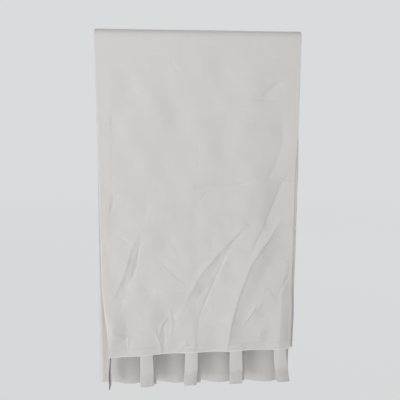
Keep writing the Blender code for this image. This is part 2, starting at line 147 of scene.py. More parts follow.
# Creases of the front, all in millimetres. Each has its softness, from 0, two flat facets, to 1,
# a round bell, and its line's points, each with its x, z, height to the front, and the widths of
# the flanks on its left, or below it, and on its right, or above it
MILLIMETRE = 0.001
CREASES = {
    # the long drag lines from the right edge to the header
    "right_valley": (0.1, (
        (312, -466, -5.6, 60, 170), (302, -486, -6, 56, 180), (274, -561, -4.9, 40, 190),
        (243, -648, -3.4, 24, 190), (216, -702, -2.2, 16, 170), (196, -758, -0.9, 12, 150),
        (184, -800, 0, 10, 140),
    )),
    "right_valley_line": (0, (
        (309, -474, -0.9, 4.5, 40), (302, -486, -1.3, 4.5, 40), (274, -561, -1.4, 4.5, 40),
        (243, -648, -1.4, 4.5, 34), (216, -702, -1, 4.5, 26), (190, -772, 0, 4, 16),
    )),
    "right_ridge": (0.05, (
        (304, -606, 0, 40, 16), (291, -639, 1.6, 60, 18), (259, -698, 4.8, 110, 28),
        (236, -722, 6.8, 130, 42), (199, -782, 8.2, 150, 56), (172, -857, 7.2, 150, 56),
        (156, -905, 5, 130, 50), (140, -959, 3.6, 110, 42), (126, -1032, 2.4, 90, 34),
        (118, -1100, 1.3, 60, 28), (114, -1140, 0.9, 50, 26),
    )),
    "right_ridge_line": (0, (
        (291, -639, 0, 16, 4), (259, -698, 1.43, 24, 4.5), (199, -782, 1.69, 30, 4.5),
        (156, -905, 2.08, 30, 4.5), (126, -1032, 2.08, 30, 4.5), (114, -1140, 1.69, 26, 4.5),
    )),
    # the long narrow pocket that runs from the right to the middle of the header
    "pocket_valley": (0.1, (
        (192, -622, 0, 6, 40), (170, -654, -0.76, 8, 60), (148, -687, -1.42, 12, 90),
        (116, -727, -2.47, 20, 110), (97, -766, -3.42, 30, 120), (74, -831, -3.99, 44, 120),
        (51, -886, -3.8, 54, 110), (27, -947, -2.47, 50, 90), (13, -988, -1.14, 40, 60),
        (4, -1030, 0, 30, 50),
    )),
    "pocket_valley_line": (0, (
        (170, -654, 0, 5, 5), (116, -727, -1.2, 7, 6), (74, -831, -1.56, 8, 6), (27, -947, -1.32, 8, 6),
        (10, -996, 0, 6, 5),
    )),
    "pocket_rim": (0, (
        (196, -624, 0, 8, 4), (153, -668, 0.99, 10, 5), (106, -717, 1.32, 12, 6), (59, -771, 1.76, 13, 7),
        (30, -806, 1.98, 14, 8), (2, -845, 1.87, 14, 8), (-22, -896, 1.65, 13, 8),
        (-56, -967, 0.88, 12, 8), (-76, -1010, 0, 10, 8),
    )),
    "pocket_dent": (0.4, (
        (104, -742, 0, 22, 14), (86, -770, -2.81, 24, 14), (68, -800, -2.18, 22, 14),
        (52, -836, 0, 20, 12),
    )),
    "pocket_dent_low": (0.4, (
        (44, -856, 0, 26, 14), (28, -884, -2.34, 30, 15), (8, -912, -1.3, 26, 14), (-6, -940, 0, 20, 12),
    )),
    # the small pleat near the fold
    "pleat_valley": (0.1, (
        (-194, -664, 0, 10, 40), (-199, -694, -1.38, 16, 60), (-208, -734, -2.76, 26, 80),
        (-218, -794, -3.33, 32, 90), (-233, -843, -2.99, 34, 80), (-262, -885, -1.84, 30, 60),
        (-290, -940, 0, 24, 50),
    )),
    "pleat_valley_line": (0, (
        (-199, -694, 0, 5, 4), (-208, -734, -1.25, 6, 5), (-218, -794, -1.56, 6, 5),
        (-236, -848, -1.4, 6, 5), (-276, -900, 0, 5, 5),
    )),
    "pleat_rim": (0, (
        (-203, -670, 0, 8, 4), (-236, -734, 1.17, 11, 5), (-251, -793, 1.43, 12, 6),
        (-271, -853, 1.3, 12, 6), (-296, -903, 0.91, 10, 6), (-330, -950, 0, 8, 6),
    )),
    "pleat_dent": (0.4, ((-246, -836, 0, 14, 8), (-258, -862, -1.96, 15, 9), (-266, -886, 0, 14, 8))),
    "pleat_tail": (0.1, (
        (-244, -866, 0, 10, 6), (-260, -912, -0.9, 12, 6), (-277, -954, -0.7, 10, 6),
        (-286, -980, 0, 8, 6),
    )),
    "pleat_head": (0.2, (
        (-286, -685, 0, 6, 6), (-268, -690, -0.9, 7, 6), (-250, -702, -0.9, 7, 6), (-240, -716, 0, 6, 6),
    )),
    # soft shapes in the middle
    "arch": (0.3, (
        (-214, -760, 0, 14, 14), (-203, -729, 1.04, 16, 14), (-170, -720, 1.46, 20, 16),
        (-132, -720, 1.25, 22, 16), (-95, -730, 1.25, 20, 12), (-75, -755, 0.83, 16, 10),
        (-66, -780, 0, 12, 10),
    )),
    "groove_down_right": (0.05, (
        (-150, -760, 0, 6, 20), (-133, -779, -0.7, 6, 26), (-85, -825, -1.1, 6, 34),
        (-37, -865, -1.3, 6, 36), (-3, -884, -1, 6, 30), (14, -894, 0, 5, 24),
    )),
    "shelf": (0.1, (
        (-196, -868, 0, 20, 30), (-171, -869, 1.44, 26, 40), (-130, -882, 3.46, 40, 60),
        (-94, -893, 4.9, 52, 70), (-50, -890, 4.9, 56, 70), (-3, -888, 2.3, 40, 60),
        (16, -890, 0, 24, 50),
    )),
    "fan_valley": (0.1, (
        (-4, -886, 0, 80, 30), (-14, -900, -2.8, 84, 44), (-40, -934, -4.6, 74, 60),
        (-70, -972, -4.2, 56, 60), (-98, -1004, -2, 34, 44), (-116, -1026, 0, 18, 30),
    )),
    "hollow_middle": (0.7, (
        (-80, -990, 0, 20, 18), (-40, -1000, -1.6, 24, 20), (0, -1006, -1.2, 22, 18),
        (30, -1010, 0, 18, 16),
    )),
    "fold_to_header": (0.05, (
        (14, -980, 0, 8, 16), (8, -1014, -1.56, 9, 24), (5, -1060, -1.82, 9, 26),
        (3, -1108, -1.56, 8, 24), (1, -1145, -1.3, 8, 22),
    )),
    "ledge_right_middle": (0.2, (
        (10, -1034, 0, 22, 8), (40, -1026, 1.2, 26, 8), (80, -1018, 1.2, 26, 8), (116, -1008, 0, 20, 8),
    )),
    # the header's left corner
    "corner_hollow": (0.05, (
        (-268, -962, 0, 24, 40), (-262, -988, -2.4, 42, 60), (-254, -1018, -3.4, 48, 70),
        (-249, -1046, -2.2, 46, 60), (-248, -1066, 0, 30, 40),
    )),
    "corner_rise": (0.05, (
        (-350, -996, 0, 30, 30), (-334, -1014, 5, 44, 44), (-306, -1038, 7.5, 50, 48),
        (-284, -1056, 6, 44, 44), (-262, -1072, 0, 30, 30),
    )),
    "corner_line": (0, (
        (-288, -1042, 0, 5, 8), (-262, -1052, -1.04, 5, 9), (-232, -1054, -1.04, 5, 9),
        (-222, -1055, 0, 4, 8),
    )),
    # the right hem and the corner over it
    "hem_fold": (0.1, (
        (326, -760, 0, 40, 30), (320, -830, 3.6, 50, 36), (314, -880, 6.6, 60, 36),
        (311, -960, 8, 64, 38), (310, -1030, 7.6, 60, 38), (310, -1076, 4, 44, 36),
        (310, -1112, 1.2, 36, 36), (310, -1140, 0.8, 36, 36),
    )),
    "corner_shade": (0.2, (
        (254, -984, 0, 40, 24), (244, -1014, 4, 60, 34), (238, -1052, 6.2, 64, 34),
        (236, -1084, 4.2, 56, 32), (236, -1116, 0, 40, 24),
    )),
    "edge_line_long": (0.05, (
        (338, -826, 0, 6, 10), (328, -844, -1.87, 8, 13), (312, -874, -1.87, 8, 13),
        (292, -918, 0, 6, 10),
    )),
    "edge_line_short": (0.05, (
        (258, -880, 0, 6, 6), (266, -892, 1.3, 9, 6), (284, -926, 1.3, 9, 6), (296, -946, 0, 6, 6),
    )),
    "right_face": (0.4, (
        (266, -846, 0, 30, 34), (244, -900, 2.56, 34, 38), (222, -960, 2.56, 32, 36),
        (196, -1030, 1.28, 28, 30), (184, -1070, 0, 22, 24),
    )),
    "streak": (0, (
        (226, -938, 0, 8, 4), (214, -960, 1.98, 11, 5), (192, -994, 1.98, 11, 5), (172, -1024, 0, 8, 4),
    )),
    "streak_head": (0, ((248, -930, 0, 7, 4), (232, -950, 1.2, 8, 4), (216, -966, 0, 7, 4))),
    # pressed lines from the packet
    "cross_press": (0, (
        (-14, -511, 0, 6, 6), (8, -508, -1.44, 8, 7), (102, -499, -1.8, 8, 7), (196, -489, -1.62, 8, 7),
        (246, -484, -0.9, 8, 7), (300, -482, 0, 8, 7),
    )),
    "cross_press_step": (0.05, (
        (236, -486, 0, 10, 5), (246, -484, -1.2, 12, 5), (282, -480, -1.6, 12, 5),
        (309, -480, -1.2, 10, 5), (322, -486, 0, 8, 5),
    )),
    "cross_press_left": (0.3, (
        (-296, -536, 0, 10, 8), (-281, -529, -0.8, 12, 8), (-200, -532, -0.6, 12, 8),
        (-140, -532, -1, 12, 8), (-104, -530, 0, 10, 8),
    )),
    "cross_press_faint": (0.3, (
        (-294, -460, 0, 8, 8), (-250, -458, -0.6, 10, 8), (-200, -459, -0.5, 10, 8),
        (-176, -460, 0, 8, 8),
    )),
    "down_press": (0.6, (
        (4, -300, 0, 14, 16), (3, -360, -0.4, 16, 18), (0, -450, -0.7, 18, 20), (-5, -561, -0.9, 18, 20),
        (-3, -700, -0.9, 18, 20), (-2, -815, -0.9, 16, 20), (2, -880, 0, 12, 16),
    )),
    "down_press_left": (0.2, (
        (-300, -120, 0, 12, 6), (-301, -163, 0.4, 16, 7), (-305, -340, 0.5, 18, 7),
        (-308, -536, 0.5, 18, 7), (-311, -660, 0, 14, 6),
    )),
    # the groove down to the cross line at the right
    "right_groove": (0.25, (
        (276, -186, 0, 10, 70), (292, -290, -0.6, 13, 90), (298, -340, -1.2, 15, 90),
        (293, -371, -1.8, 16, 90), (279, -418, -2.5, 17, 90), (256, -468, -2.1, 15, 80),
        (246, -484, -0.8, 12, 60), (240, -494, 0, 10, 40),
    )),
    # small marks of the upper half
    "upper_right_a": (0.1, (
        (306, -132, 0, 7, 10), (289, -141, -1.4, 9, 14), (258, -160, -2.2, 10, 22),
        (232, -182, -2, 9, 20), (222, -194, 0, 8, 12),
    )),
    "upper_right_b": (0.1, (
        (182, -201, 0, 7, 5), (200, -199, -1.6, 8, 6), (250, -201, -1.8, 8, 6), (288, -204, 0, 7, 5),
    )),
    "upper_right_c": (0.6, (
        (150, -128, 0, 14, 14), (180, -128, -2.74, 18, 18), (220, -132, -2.35, 18, 18),
        (250, -140, 0, 14, 14),
    )),
    "upper_right_d": (0.4, (
        (160, -14, 0, 10, 8), (220, -44, -0.9, 14, 10), (292, -68, -0.9, 14, 10), (320, -80, 0, 10, 8),
    )),
    "upper_middle_a": (0.9, (
        (-122, -96, 0, 20, 24), (-113, -150, -0.8, 30, 32), (-96, -196, -1.1, 34, 36),
        (-63, -238, -0.8, 30, 32), (-52, -270, 0, 20, 24),
    )),
    "upper_middle_b": (0.3, (
        (-94, -70, 0, 5, 7), (-88, -84, -0.7, 6, 9), (-74, -106, -0.7, 6, 9), (-69, -116, 0, 5, 7),
    )),
    "upper_left": (0.2, (
        (-256, -181, 0, 6, 5), (-236, -181, -0.7, 8, 5), (-214, -182, -0.7, 8, 5), (-200, -182, 0, 6, 5),
    )),
    "upper_left_long": (0.5, (
        (-350, -176, 0, 14, 12), (-344, -210, 1, 18, 14), (-310, -286, 1, 18, 14),
        (-285, -330, 0, 14, 12),
    )),
    "left_tick": (0.1, (
        (-292, -530, 0, 5, 7), (-296, -552, -1.56, 6, 9), (-304, -588, -1.56, 6, 9),
        (-310, -606, 0, 5, 7),
    )),
    "lower_left_tick": (0.2, (
        (-180, -566, 0, 6, 5), (-181, -584, -0.8, 7, 5), (-184, -608, -0.8, 7, 5), (-186, -624, 0, 6, 5),
    )),
    "under_press_tick": (0.2, (
        (40, -520, 0, 6, 6), (30, -530, -1.3, 8, 6), (16, -548, -1.04, 8, 6), (8, -562, 0, 6, 6),
    )),
    # crumples over the header, between the second and third loops
    "crumple_a": (0.1, (
        (-98, -950, 0, 6, 5), (-95, -970, 1.38, 8, 6), (-89, -1010, 1.21, 8, 6), (-92, -1049, 1.03, 7, 6),
        (-98, -1075, 0, 6, 5),
    )),
    "crumple_b": (0.1, (
        (-96, -975, 0, 6, 7), (-114, -1000, 1.51, 7, 8), (-132, -1030, 1.73, 7, 8),
        (-136, -1060, 1.4, 7, 8), (-126, -1092, 0, 6, 7),
    )),
    "crumple_c": (0.1, (
        (-114, -990, 0, 5, 7), (-120, -1030, -1.2, 6, 8), (-118, -1070, -1.2, 6, 8),
        (-116, -1104, -0.9, 6, 8), (-120, -1140, 0, 5, 7),
    )),
    "crumple_d": (0.1, (
        (-148, -1030, 0, 6, 4), (-145, -1060, 1.87, 7, 5), (-133, -1090, 2.02, 7, 5),
        (-130, -1118, 1.44, 6, 5), (-134, -1145, 0.86, 6, 5),
    )),
    "crumple_e": (0.1, (
        (-30, -1070, 0, 6, 6), (-38, -1088, 1.56, 7, 6), (-52, -1106, 1.56, 7, 6), (-66, -1124, 0, 6, 6),
    )),
    "crumple_f": (0.2, (
        (-88, -962, 0, 6, 5), (-84, -984, -1.2, 8, 5), (-78, -1006, -1, 8, 5), (-80, -1030, 0, 6, 5),
    )),
    # imprints of the sewn-in loop ends
    "loop_end_left": (0, (
        (-250, -1050, 0, 4, 4), (-250, -1060, 1.05, 4, 4), (-249, -1110, 1.05, 4, 4),
        (-249, -1122, 0, 4, 4),
    )),
    "loop_end_left_top": (0, (
        (-252, -1055, 0, 4, 4), (-244, -1055, -0.98, 4, 4), (-224, -1054, -0.98, 4, 4),
        (-216, -1054, 0, 4, 4),
    )),
    "loop_end_2": (0, (
        (-52, -1107, 0, 4, 3), (-46, -1107, 0.75, 5, 3), (0, -1106, 0.75, 5, 3), (6, -1105, 0, 4, 3),
    )),
    "loop_end_3": (0, (
        (120, -1101, 0, 4, 3), (126, -1101, 0.75, 5, 3), (172, -1100, 0.75, 5, 3), (178, -1100, 0, 4, 3),
    )),
}
CREASE_ROUND = 0.0008
FACET_EDGE = 0.05
BELL_NARROWING = 1.5
UNDER_PRESS = ("right_valley",)
PRESS_HEIGHT = -0.4805
PRESS_STEP = 0.007

# How far from the fold the creases start and how soon they are whole, on each layer
OUTER_START = 0.012
OUTER_FADE = 0.030
INNER_START = 0.060
INNER_FADE = 0.060
CREASE_FADE_AT_ROD = 0.020
CALM_AT_FOLD = 0.060
ROLL_FADE_AT_FOLD = 0.040
DRAPE_STEP = 0.0004

# Fine crumples, drawn by chance: how many, the corners of their box, and the least and greatest
# height, length and flank, in millimetres. The front's are on x and z, the plain ones on the cloth
CHANCE_SEED = 41
FRONT_CRUMPLES = (90, ((-330, -1125), (345, -600)), (0.6, 2.4), (40, 130), (10, 40))
UPPER_CRUMPLES = (50, ((-330, -560), (345, -30)), (0.1, 0.5), (16, 70), (6, 20))
PLAIN_CRUMPLES = (40, ((20, 1300), (680, 2460)), (0.3, 1.2), (60, 200), (14, 40))
CHANCE_SOFTNESS = 0.20

# A slack all over the cloth, and the stitches' pull on it
SLACK_WAVES = 14
SLACK_LENGTHS = (0.055, 0.230)
SLACK_FULL_LENGTH = 0.140
SLACK_HEIGHT = 0.00042
RAW_EDGE_SHARE = 0.35
EDGE_PUCKER = 0.00035
SIDE_PUCKER = (0.0031, 0.0173, 0.010)
HEADER_PUCKER = (0.0034, 0.0190, 0.012)
STITCH_DIMPLE = 0.00022
STITCH_DIMPLE_WIDTH = 0.0011
HEADER_ROLL = -0.0018
HEADER_ROLL_HEIGHT = 0.0045

# Grid lines of the finished cloth. The last two are shares of the facing's height and of a
# loop's width. Cells near a crease are split, and fewer of them beside a soft one
EDGE_LINES = (0.0, 0.0005, 0.0018)
HEM_EDGE_STEP = 0.0012
OUTER_STEP = 0.0105
CELL_SPLIT = 5
NEAR_CREASE = 0.0074
SOFT_CREASE = 0.35
SOFT_CREASE_SHARE = 0.4
PLAIN_BESIDE_FOLD = 0.020
INNER_STEP = 0.0260
FOLD_STEP = 0.0026
FOLD_SPAN = 0.034
TIGHT_STEP = 0.0011
TIGHT_SPAN = 0.0095
LOWER_FRONT = 0.690
LOWER_STEP = 0.0100
UPPER_STEP = 0.0120
ROD_STEP = 0.0046
REAR_STEP = 0.0280
CLOSEST_LINES = 0.0006
FACING_EDGE = 0.0008
FACING_STEP = 0.010
LOOP_INSET = 0.01
FACING_ROWS = (0.0, 0.03, 0.25, 0.55, 0.8, 0.97, 1.0)
LOOP_COLUMNS = (0.0, 0.012, 0.045, 0.12, 0.22, 0.34, 0.45, 0.55, 0.66, 0.78, 0.88, 0.955, 0.988, 1.0)

# Stitching
SIDE_STITCH = SIDE_HEM_WIDTH - 0.0018
FOOT_STITCH = BOTTOM_HEM_WIDTH - 0.0020
HEADER_STITCH = FACING_HEIGHT - 0.0020
HEADER_EDGE_STITCH = 0.0035
STITCH_PITCH = 0.0034
STITCH_LENGTH = 0.0027
STITCH_MARGIN = 0.006
STITCH_LIFT = 0.00022
STITCH_SINK = 0.00002
THREAD_RADIUS = 0.00022
THREAD_SIDES = 5
STITCH_GIRTHS = (0.55, 0.95, 1.0, 0.95, 0.55)

# Finishes: a thread of the weave is 1 / THREADS_PER_METRE wide
CLOTH_COLOUR = (0.600, 0.584, 0.571)
CLOTH_SHEEN = 0.12
CLOTH_TONE = 0.022
# A painted highlight along the header's lower edge, where it catches the light: its height, and how much
# paler the cloth is there
PAINTED_EDGE_HIGHLIGHT_HEIGHT = 0.0036
PAINTED_EDGE_HIGHLIGHT_PALENESS = 1.16
THREAD_COLOUR = (0.640, 0.615, 0.585)
THREADS_PER_METRE = 1500.0


def smoothstep(value):
    """0 below 0, 1 above 1, and 3v^2 - 2v^3 between."""
    value = np.clip(value, 0.0, 1.0)
    return value * value * (3.0 - 2.0 * value)


def fold_line(along):
    """Where the lengthwise fold runs across the cloth: in its middle at the crown, and a little
    nearer the outer layer's free edge, by a smooth step, in the lower part of the front.
    """
    down_front = FRONT_TOP_LINE - along
    return CURTAIN_WIDTH / 2 - FOLD_OFFSET * smoothstep((down_front - FOLD_OFFSET_TOP) / FOLD_OFFSET_RUN)


def fold_opening(along):
    """Half depth and corner radius of the lengthwise fold, and the half gap away from it.

    The half gap grows evenly down the front and the rear. Near the header and near the hem the
    fold's half depth grows past it by a smooth step.
    """
    front = CROWN_LINE - along
    rear = along - CROWN_LINE
    down_front = np.clip((front - QUARTER_WRAP) / FRONT_DROP, 0.0, 1.0)
    down_rear = np.clip((rear - QUARTER_WRAP) / REAR_DROP, 0.0, 1.0)
    half_gap = HALF_GAP_AT_ROD + (HALF_GAP_AT_HEADER - HALF_GAP_AT_ROD) * down_front
    half_gap = half_gap + (HALF_GAP_AT_HEM - HALF_GAP_AT_ROD) * down_rear
    at_header = smoothstep(1.0 - along / HEADER_FOLD_HEIGHT)
    at_hem = smoothstep(1.0 - (PANEL_LENGTH - along) / HEM_FOLD_HEIGHT)
    half_depth = half_gap + (HEADER_FOLD_HALF_DEPTH - half_gap) * at_header
    half_depth = half_depth + (HEM_FOLD_HALF_DEPTH - half_gap) * at_hem
    corner = half_depth + (HEADER_FOLD_CORNER - half_depth) * at_header
    return half_depth, np.minimum(corner, half_depth), half_gap, at_header


def folded_section(across, along):
    """Distance in from the fold and signed distance from the mid plane.

    The section is a flat end, two quarter circles and two straight layers, which close up from
    the fold's half depth to the half gap by a bell, exp(-(distance / reach)^2). Towards the free
    edges they close up further, except at the header, where the loops lie between them.
    """
    from_fold = across - fold_line(along)
    reach = np.abs(from_fold)
    half_depth, corner, half_gap, at_header = fold_opening(along)
    flat = half_depth - corner
    turn = np.clip((reach - flat) / corner, 0.0, math.pi / 2)
    straight = np.maximum(reach - flat - corner * math.pi / 2, 0.0)
    inward = corner * (1.0 - np.cos(turn)) + straight
    apart = np.minimum(reach, flat) + corner * np.sin(turn)
    close_over = HEM_FOLD_REACH + (HEADER_FOLD_REACH - HEM_FOLD_REACH) * at_header
    closing = np.exp(-((straight / close_over) ** 2))
    apart = np.where(straight > 0.0, half_gap + (half_depth - half_gap) * closing, apart)
    from_side = np.minimum(across, CURTAIN_WIDTH - across)
    at_edge = smoothstep(1.0 - from_side / EDGE_CLOSING_WIDTH)
    at_edge = at_edge * smoothstep(along / HEADER_FOLD_HEIGHT - EDGE_CLOSING_START)
    at_edge = at_edge * smoothstep((FRONT_TOP_LINE - along) / FOLD_OFFSET_TOP)
    apart = apart * (1.0 - EDGE_CLOSING * at_edge)
    return inward, np.where(from_fold > 0.0, -apart, apart)


def one_fold(x, z, height, left_width, right_width, top, middle, foot):
    """Height of one soft fold: a bell across a parabola through its top, middle and foot."""
    crest = np.zeros_like(z)
    lean = np.zeros_like(z)
    points = (top, middle, foot)
    for number, (point_x, point_z) in enumerate(points):
        (_, first), (_, second) = points[:number] + points[number + 1 :]
        share = (point_z - first) * (point_z - second)
        crest = crest + point_x * (z - first) * (z - second) / share
        lean = lean + point_x * (2.0 * z - first - second) / share
    off = (x - crest) / np.sqrt(1.0 + lean**2)
    width = np.where(off < 0.0, left_width, right_width)
    fade = smoothstep((top[1] - z) / FOLD_FADE) * smoothstep((z - foot[1]) / FOLD_FADE)
    return height * fade * np.exp(-((off / width) ** 2))


def along_line(x, z, points):
    """Distance from a line of straight lengths, the side it is on, and the way along it.

    The nearest point of each length is found by projection, held within its ends, and the
    nearest length wins. The side is the sign of the cross product with its direction. The way
    counts the lengths, so that 1.5 is the middle of the second.
    """
    nearest = np.full(x.shape, np.inf)
    side, way = np.zeros(x.shape), np.zeros(x.shape)
    for number, ((x0, z0), (x1, z1)) in enumerate(zip(points[:-1], points[1:])):
        length = math.dist((x0, z0), (x1, z1))
        dx, dz = (x1 - x0) / length, (z1 - z0) / length
        reach = np.clip((x - x0) * dx + (z - z0) * dz, 0.0, length)
        off_x, off_z = x - x0 - reach * dx, z - z0 - reach * dz
        distance = np.hypot(off_x, off_z)
        nearer = distance < nearest
        nearest = np.where(nearer, distance, nearest)
        side = np.where(nearer, dx * off_z - dz * off_x, side)
        way = np.where(nearer, number + reach / length, way)
    return nearest, side, way


def crease(x, z, softness, points):
    """Height of one crease: a tent, a bell, or a mix of them, across a line.

    With u the distance over the flank's width, the tent is a rounded 1 - u and the bell is
    exp(-(1.5 u)^2). Height and widths go evenly from each point's to the next one's.
    """
    columns = np.array(points, float).T * MILLIMETRE
    places = list(zip(columns[0], columns[1]))
    distance, side, way = along_line(x, z, places)
    height, left, right = (np.interp(way, np.arange(len(places)), column) for column in columns[2:])
    width = left + (right - left) * smoothstep(side / CREASE_ROUND / 2.0 + 0.5)
    share = (np.sqrt(distance**2 + CREASE_ROUND**2) - CREASE_ROUND) / width
    tent = (1.0 - share + np.sqrt((1.0 - share) ** 2 + FACET_EDGE**2)) / 2.0
    tent = tent * np.exp(-(np.maximum(share - 1.0, 0.0) ** 2))
    bell = np.exp(-((BELL_NARROWING * share) ** 2))
    return height * ((1.0 - softness) * tent + softness * bell)


def chance_creases(chance, count, box, heights, lengths, widths):
    """Short bent creases in a box of the cloth, drawn by chance, in millimetres."""
    (x0, z0), (x1, z1) = box
    made = []
    for _ in range(count):
        middle_x, middle_z = chance.uniform(x0, x1), chance.uniform(z0, z1)
        turn = chance.uniform(0.0, math.pi)
        half = chance.uniform(*lengths) / 2.0
        height = chance.uniform(*heights) * chance.choice((-1.0, 1.0))
        left, right = chance.uniform(*widths, size=2)
        bend = chance.normal(0.0, half * 0.2)
        step_x, step_z = half * math.cos(turn), half * math.sin(turn)
        points = (
            (middle_x - step_x, middle_z - step_z, 0.0, left, right),
            (middle_x - bend * math.sin(turn), middle_z + bend * math.cos(turn), height, left, right),
            (middle_x + step_x, middle_z + step_z, 0.0, left, right),
        )
        made.append((CHANCE_SOFTNESS, points))
    return made


def slack_waves(chance):
    """Long low waves in all directions: radians a metre each way, phase and share of height."""
    waves = []
    for _ in range(SLACK_WAVES):
        length, turn = chance.uniform(*SLACK_LENGTHS), chance.uniform(0.0, math.pi)
        number = 2.0 * math.pi / length
        phase = chance.uniform(0.0, 2.0 * math.pi)
        waves.append((number * math.cos(turn), number * math.sin(turn), phase, length / SLACK_FULL_LENGTH))
    return waves


CHANCE = np.random.default_rng(CHANCE_SEED)
FRONT_FINE = chance_creases(CHANCE, *FRONT_CRUMPLES)
UPPER_FINE = chance_creases(CHANCE, *UPPER_CRUMPLES)
PLAIN_FINE = chance_creases(CHANCE, *PLAIN_CRUMPLES)
SLACK = slack_waves(CHANCE)


def slack(across, along):
    """Sum of the slack's sine waves on the flat cloth."""
    total = np.zeros(np.broadcast_shapes(across.shape, along.shape))
    for over, up, phase, size in SLACK:
        total = total + SLACK_HEIGHT * size * np.sin(over * across + up * along + phase)
    return total


def front_relief(x, z):
    """How far the soft folds stand forward of the plain front."""
    return sum(one_fold(x, z, *fold) for fold in FRONT_FOLDS.values())


def header_wave(across, along):
    """A cosine along the header with its crests at the loops, fading up the cloth."""
    from_loop = (across - FIRST_TAB - TAB_WIDTH / 2) / TAB_PITCH
    wave = HEADER_WAVE_DEPTH * np.cos(2.0 * math.pi * from_loop)
    return wave * smoothstep(1.0 - along / HEADER_WAVE_HEIGHT)


def rear_wave(x, down):
    """A cosine across the rear that grows towards the hem."""
    phase = 2.0 * math.pi * (x - HEM_WAVE_CREST) / HEM_WAVE_LENGTH
    return HEM_WAVE_DEPTH * np.cos(phase) * smoothstep(1.0 - (REAR_DROP - down) / HEM_WAVE_HEIGHT)


def creased(x, z, across, along):
    """Creases of the outer layer's front, which die out at the lengthwise fold and at the top.

    The wide valley at the right starts under the pressed cross line. The inner layer gives way
    where the outer one is set back.
    """
    below_press = smoothstep((PRESS_HEIGHT - z) / PRESS_STEP)
    total = sum(crease(x, z, *one) for one in [*FRONT_FINE, *UPPER_FINE])
    for name, one in CREASES.items():
        total = total + crease(x, z, *one) * (below_press if name in UNDER_PRESS else 1.0)
    outer = smoothstep((FOLD_LINE - across - OUTER_START) / OUTER_FADE)
    inner = smoothstep((across - FOLD_LINE - INNER_START) / INNER_FADE)
    total = total * outer + np.minimum(total, 0.0) * inner
    return total * smoothstep((FRONT_TOP_LINE - along) / CREASE_FADE_AT_ROD)


def drape(across, along):
    """Takes places on the flat cloth to points on the folded, hung cloth's middle surface.

    The folded section is laid down the front, round a half circle and down the rear. The soft
    folds, waves, creases and slack are then added to the depth, with the same slack on both
    layers, and the header's edge rolls a little by a smooth step.
    """
    across, along = np.broadcast_arrays(np.asarray(across, float), np.asarray(along, float))
    inward, apart = folded_section(across, along)
    _, _, half_gap, at_header = fold_opening(along)
    level = inward - FOLDED_HALF_WIDTH + HEADER_FOLD_PULL * at_header
    past_crown = along - CROWN_LINE
    x = level * math.cos(ASKEW_ANGLE) - past_crown * math.sin(ASKEW_ANGLE)
    turned = past_crown * math.cos(ASKEW_ANGLE) + level * math.sin(ASKEW_ANGLE)
    angle = np.clip(turned / WRAP_RADIUS, -math.pi / 2, math.pi / 2)
    down = np.maximum(np.abs(turned) - QUARTER_WRAP, 0.0)
    in_front = turned < 0.0
    tilt = HEADER_TILT * level / FOLDED_HALF_WIDTH * down / FRONT_DROP
    down = np.where(in_front, down * (1.0 - tilt / FRONT_DROP), down)
    radius = INNER_WRAP_RADIUS + half_gap + apart
    z = radius * np.cos(angle) - down
    hang = smoothstep(down / PLAIN_UNDER_ROD)
    front = front_relief(x, z) + header_wave(across, along)
    forward = np.where(in_front, front, rear_wave(x, down)) * hang
    front_only = np.where(in_front, creased(x, z, across, along), 0.0)
    calm = hang * smoothstep(np.abs(across - FOLD_LINE) / CALM_AT_FOLD)
    on_outer = np.minimum(across, 2.0 * FOLD_LINE - across)
    loose = sum(crease(on_outer, along, *one) for one in PLAIN_FINE)
    forward = forward + front_only + (slack(on_outer, along) + loose) * calm
    roll = HEADER_ROLL * smoothstep(1.0 - along / HEADER_ROLL_HEIGHT)
    roll = roll * smoothstep(np.abs(across - FOLD_LINE) / ROLL_FADE_AT_FOLD)
    forward = forward - roll * np.where(across < FOLD_LINE, 1.0, -1.0)
    return np.stack([x, radius * np.sin(angle) - forward, z], axis=-1)


def square_to(points):
    """Unit vectors square to a grid of points, from the slopes along its rows and columns."""
    sideways = np.gradient(points, axis=1)
    lengthways = np.gradient(points, axis=0)
    square = np.cross(sideways, lengthways)
    return square / np.linalg.norm(square, axis=-1, keepdims=True)


def behind(across, along, offset):
    """Points at an offset on the cloth's wrong side, square to its surface."""
    sideways = drape(across + DRAPE_STEP, along) - drape(across - DRAPE_STEP, along)
    lengthways = drape(across, along + DRAPE_STEP) - drape(across, along - DRAPE_STEP)
    square = np.cross(sideways, lengthways)
    square = square / np.linalg.norm(square, axis=-1, keepdims=True)
    return drape(across, along) + square * np.asarray(offset)[..., None]


def lines_of(marks, step_at):
    """Grid lines through all the marks, with even cells no longer than the step between them."""
    marks = sorted(marks)
    kept = [marks[0]]
    for mark in marks[1:]:
        if mark - kept[-1] > CLOSEST_LINES / 2:
            kept.append(mark)
    places = [kept[0]]
    for start, stop in zip(kept[:-1], kept[1:]):
        cells = max(1, math.ceil((stop - start) / step_at((start + stop) / 2)))
        places.extend(np.linspace(start, stop, cells + 1)[1:])
    return np.array(places)


def stitch_marks(place):
    """Grid lines at and beside a row of stitches."""
    return [place - STITCH_DIMPLE_WIDTH, place, place + STITCH_DIMPLE_WIDTH]


def panel_columns():
    """Grid lines across the cloth, close on the outer layer and round the fold."""
    marks = [*EDGE_LINES, SIDE_HEM_WIDTH, SIDE_HEM_WIDTH + HEM_EDGE_STEP, *stitch_marks(SIDE_STITCH)]
    marks += [CURTAIN_WIDTH - mark for mark in marks]
    middle = CURTAIN_WIDTH / 2 - FOLD_OFFSET / 2
    marks += [middle + side * span for side in (-1, 1) for span in (FOLD_SPAN, TIGHT_SPAN)]

    def step_at(place):
        from_fold = abs(place - middle)
        if from_fold < FOLD_SPAN:
            return TIGHT_STEP if from_fold < TIGHT_SPAN else FOLD_STEP
        return OUTER_STEP if place < FOLD_LINE else INNER_STEP

    return lines_of(marks, step_at)


